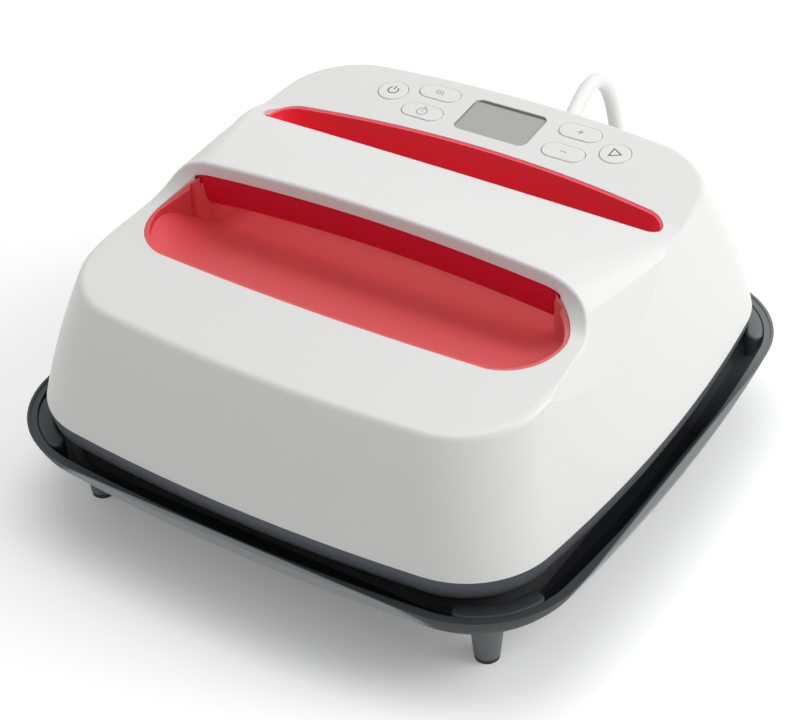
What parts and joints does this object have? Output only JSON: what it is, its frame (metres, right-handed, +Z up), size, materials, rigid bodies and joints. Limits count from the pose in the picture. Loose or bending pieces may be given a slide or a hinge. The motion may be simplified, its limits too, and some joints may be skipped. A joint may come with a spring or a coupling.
{
  "type": "handheld heat press",
  "caption": "Handheld square heat press with a bridge handle, keypad and display, resting in an insulated tray base; the press lifts off and its keys travel.",
  "frame": {"origin": "on the floor under the middle of the press and its tray", "axes": "+Z up, +Y to the back where the cord leaves, +X to the right seen from the front"},
  "size_m": [0.3182, 0.4158, 0.1454],
  "materials": {
    "tray_grey": "fine moulded texture",
    "mat_grey": "pressed insulating mat",
    "rubber": "matt",
    "steel": "zinc plated",
    "white_shell": "satin gloss",
    "red_shell": "satin gloss",
    "skirt_grey": "satin",
    "plate_metal": "non-stick coated",
    "element_metal": "heat tinted",
    "shield_metal": "rolled sheet",
    "fibre": "glass fibre felt",
    "chassis_black": "moulded",
    "board_green": "solder mask",
    "relay_black": "moulded",
    "can_metal": "can with sleeve",
    "key_white": "fine matt",
    "mat_silicone": "translucent grey",
    "lens": "clear window",
    "lcd": "grey display",
    "cord_white": "satin sheath",
    "pin_brass": "nickel plated"
  },
  "bodies": {
    "base": {"base_tray": "tray_grey", "insulation_mat": "mat_grey", "tray_feet": "tray_grey", "foot_pads": "rubber", "foot_screws": "steel", "cord_coil": "cord_white", "plug_body": "cord_white", "plug_pins": "pin_brass"},
    "press": {"upper_shell": "white_shell", "grip_trough": "red_shell", "grip_liner": "red_shell", "lower_skirt": "skirt_grey", "heat_plate": "plate_metal", "heating_element": "element_metal", "element_clamps": "steel", "clamp_screws": "steel", "plate_posts": "steel", "temperature_sensor": "pin_brass", "sensor_screw": "steel", "thermal_fuse": "can_metal", "heat_shield": "shield_metal", "insulation_blanket": "fibre", "inner_chassis": "chassis_black", "power_board": "board_green", "power_relay": "relay_black", "filter_capacitor": "can_metal", "mains_terminal": "relay_black", "board_heat_sink": "shield_metal", "power_board_screws": "steel", "chassis_screws": "steel", "cover_screws": "steel", "key_mat": "mat_silicone", "control_board": "board_green", "board_screws": "steel", "display_lens": "lens", "lcd_module": "lcd", "cord_gland": "cord_white", "cord_lead": "cord_white"},
    "power_key": {"key_power": "key_white"},
    "heat_key": {"key_heat": "key_white"},
    "timer_key": {"key_timer": "key_white"},
    "plus_key": {"key_plus": "key_white"},
    "minus_key": {"key_minus": "key_white"},
    "start_key": {"key_start": "key_white"}
  },
  "joints": [
    {"name": "press_lift", "type": "slide", "parent": "base", "child": "press", "axis": [0, 0, 1], "range_m": [0, 0.12]},
    {"name": "power_press", "type": "slide", "parent": "press", "child": "power_key", "axis": [0, 0.1172, -0.9931], "range_m": [0, 0.0009], "stiffness_N_per_m": 800, "springref_m": -0.0002},
    {"name": "heat_press", "type": "slide", "parent": "press", "child": "heat_key", "axis": [0, 0.1172, -0.9931], "range_m": [0, 0.0009], "stiffness_N_per_m": 800, "springref_m": -0.0002},
    {"name": "timer_press", "type": "slide", "parent": "press", "child": "timer_key", "axis": [0, 0.1172, -0.9931], "range_m": [0, 0.0009], "stiffness_N_per_m": 800, "springref_m": -0.0002},
    {"name": "plus_press", "type": "slide", "parent": "press", "child": "plus_key", "axis": [0, 0.1172, -0.9931], "range_m": [0, 0.0009], "stiffness_N_per_m": 800, "springref_m": -0.0002},
    {"name": "minus_press", "type": "slide", "parent": "press", "child": "minus_key", "axis": [0, 0.1172, -0.9931], "range_m": [0, 0.0009], "stiffness_N_per_m": 800, "springref_m": -0.0002},
    {"name": "start_press", "type": "slide", "parent": "press", "child": "start_key", "axis": [0, 0.1172, -0.9931], "range_m": [0, 0.0009], "stiffness_N_per_m": 800, "springref_m": -0.0002}
  ]
}
